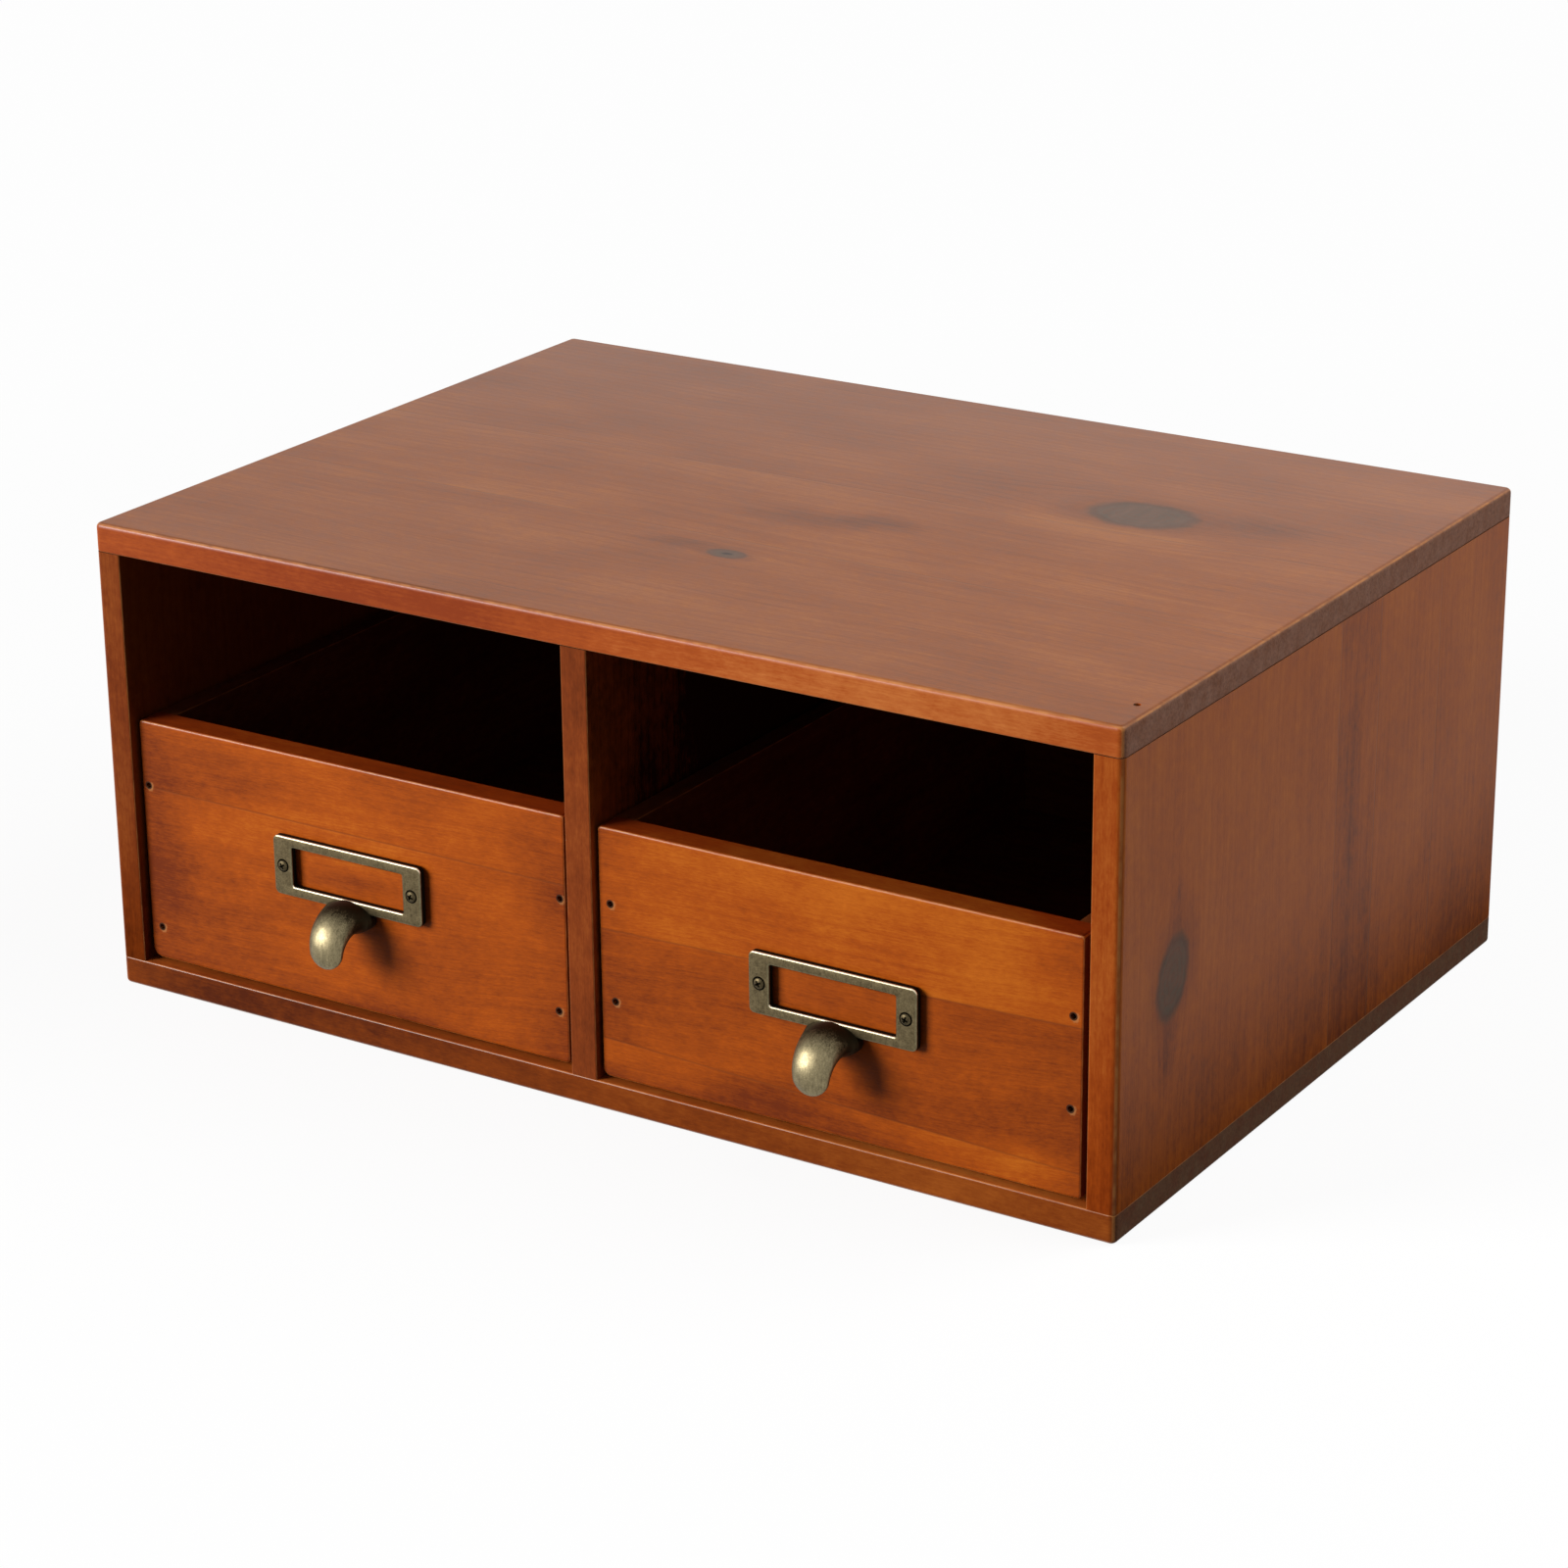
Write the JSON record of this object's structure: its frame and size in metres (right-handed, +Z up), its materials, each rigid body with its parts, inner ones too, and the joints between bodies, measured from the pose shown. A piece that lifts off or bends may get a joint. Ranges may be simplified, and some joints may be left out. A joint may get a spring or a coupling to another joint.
{
  "type": "desktop drawer organizer",
  "caption": "Low stained wooden desk case with side-by-side drawers under open shelf space; each drawer has a brass label frame with a finger pull.",
  "frame": {"origin": "middle of the case's underside, where it rests", "axes": "+X along the width to the user's right, +Y towards the back, +Z up; the drawers open towards -Y"},
  "size_m": [0.35, 0.2647, 0.15],
  "materials": {
    "case_pine": "red-brown stain under satin lacquer",
    "drawer_front_pine": "red-brown stain under satin lacquer",
    "drawer_pine": "red-brown stain, thin lacquer",
    "stained_plywood": "stained thin plywood",
    "antique_brass": "dark antiqued brass, edges rubbed bright",
    "brass_screws": "dark antiqued brass",
    "nail_steel": "bright drawn wire"
  },
  "bodies": {
    "case": {"top_board": "case_pine", "bottom_board": "case_pine", "left_side_board": "case_pine", "right_side_board": "case_pine", "centre_divider": "case_pine", "back_panel": "stained_plywood", "top_board_nails": "nail_steel", "bottom_board_nails": "nail_steel", "back_panel_pins": "nail_steel"},
    "left_drawer": {"left_drawer_front": "drawer_front_pine", "left_drawer_left_side": "drawer_pine", "left_drawer_right_side": "drawer_pine", "left_drawer_back": "drawer_pine", "left_drawer_bottom": "stained_plywood", "left_drawer_front_brads": "nail_steel", "left_drawer_back_brads": "nail_steel", "left_drawer_bottom_pins": "nail_steel", "left_drawer_label_pull": "antique_brass", "left_drawer_label_screws": "brass_screws"},
    "right_drawer": {"right_drawer_front": "drawer_front_pine", "right_drawer_left_side": "drawer_pine", "right_drawer_right_side": "drawer_pine", "right_drawer_back": "drawer_pine", "right_drawer_bottom": "stained_plywood", "right_drawer_front_brads": "nail_steel", "right_drawer_back_brads": "nail_steel", "right_drawer_bottom_pins": "nail_steel", "right_drawer_label_pull": "antique_brass", "right_drawer_label_screws": "brass_screws"}
  },
  "joints": [
    {"name": "left_drawer_slide", "type": "slide", "parent": "case", "child": "left_drawer", "axis": [0, -1, 0], "range_m": [0, 0.2]},
    {"name": "right_drawer_slide", "type": "slide", "parent": "case", "child": "right_drawer", "axis": [0, -1, 0], "range_m": [-0.001, 0.199]}
  ]
}
